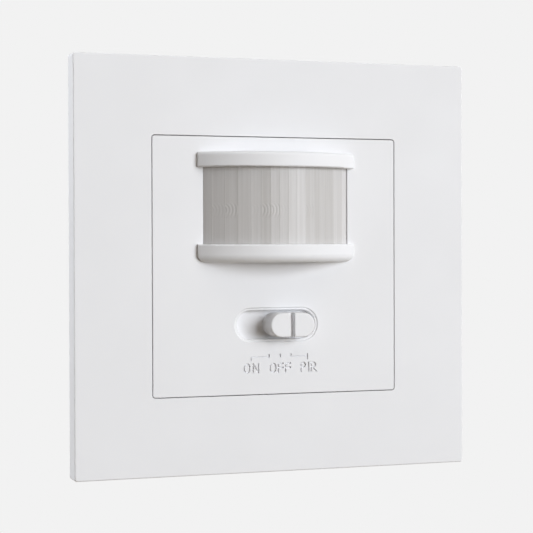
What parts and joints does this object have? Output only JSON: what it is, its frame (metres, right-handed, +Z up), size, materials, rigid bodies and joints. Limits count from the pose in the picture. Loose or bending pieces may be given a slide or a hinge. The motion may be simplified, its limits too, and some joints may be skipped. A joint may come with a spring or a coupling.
{
  "type": "motion sensor light switch",
  "caption": "Square flush wall switch with a curved motion sensor lens between two visor bars and a slide knob for on, off and automatic, on a housing for a round wall box.",
  "frame": {"origin": "centre of the wall box screws, on the wall's surface", "axes": "+X to the right and +Z up as seen from the room, +Y into the wall, so the front faces -Y"},
  "size_m": [0.08, 0.0433, 0.08],
  "materials": {
    "cover_white": "satin moulded ABS",
    "lens_milky": "milky polyethylene, semi-translucent",
    "inner_white": "moulded nylon",
    "housing_grey": "fine textured polycarbonate",
    "zinc_steel": "zinc plated",
    "board_green": "solder mask on glass laminate",
    "filter_dark": "coated silicon window",
    "epoxy_clear": "cast epoxy",
    "black_plastic": "moulded epoxy and nylon",
    "phenolic_brown": "punched paper laminate",
    "contact_brass": "stamped",
    "trimmer_blue": "moulded",
    "relay_blue": "moulded case",
    "capacitor_yellow": "potted box",
    "capacitor_sleeve": "shrink sleeve",
    "resistor_ceramic": "lacquered",
    "terminal_grey": "moulded nylon"
  },
  "bodies": {
    "base": {"support_frame": "zinc_steel", "support_rivets": "zinc_steel", "chassis": "housing_grey", "control_board": "board_green", "board_screws": "zinc_steel", "pir_sensor": "zinc_steel", "pir_window": "filter_dark", "light_sensor": "epoxy_clear", "control_chip": "black_plastic", "switch_base": "phenolic_brown", "switch_shell": "zinc_steel", "lux_trimmer": "trimmer_blue", "time_trimmer": "trimmer_blue", "board_header": "black_plastic", "power_board": "board_green", "relay": "relay_blue", "film_capacitor": "capacitor_yellow", "reservoir_capacitors": "capacitor_sleeve", "rectifier_diodes": "black_plastic", "dropper_resistor": "resistor_ceramic", "rear_housing": "housing_grey", "rear_screws": "zinc_steel", "terminal_block": "terminal_grey", "terminal_clamps": "contact_brass", "terminal_screws": "zinc_steel"},
    "frame": {"cover_frame": "cover_white"},
    "cover": {"centre_plate": "cover_white", "fresnel_lens": "lens_milky", "lens_retainer": "inner_white"},
    "slider": {"slide_knob": "cover_white", "switch_slider": "black_plastic", "contact_bridge": "contact_brass"},
    "lux": {"lux_dial": "inner_white"},
    "time": {"time_dial": "inner_white"}
  },
  "joints": [
    {"name": "knob_slide", "type": "slide", "parent": "base", "child": "slider", "axis": [1, 0, 0], "range_m": [-0.0044, 0]},
    {"name": "lux_turn", "type": "hinge", "parent": "base", "child": "lux", "pos_m": [-0.0164, 0, -0.012], "axis": [0, -1, 0], "range_deg": [-135, 135]},
    {"name": "time_turn", "type": "hinge", "parent": "base", "child": "time", "pos_m": [0.0164, 0, -0.012], "axis": [0, -1, 0], "range_deg": [-135, 135]},
    {"name": "cover_pull", "type": "slide", "parent": "base", "child": "cover", "axis": [0, -1, 0], "range_m": [0, 0.03]},
    {"name": "frame_pull", "type": "slide", "parent": "base", "child": "frame", "axis": [0, -1, 0], "range_m": [0, 0.015]}
  ]
}
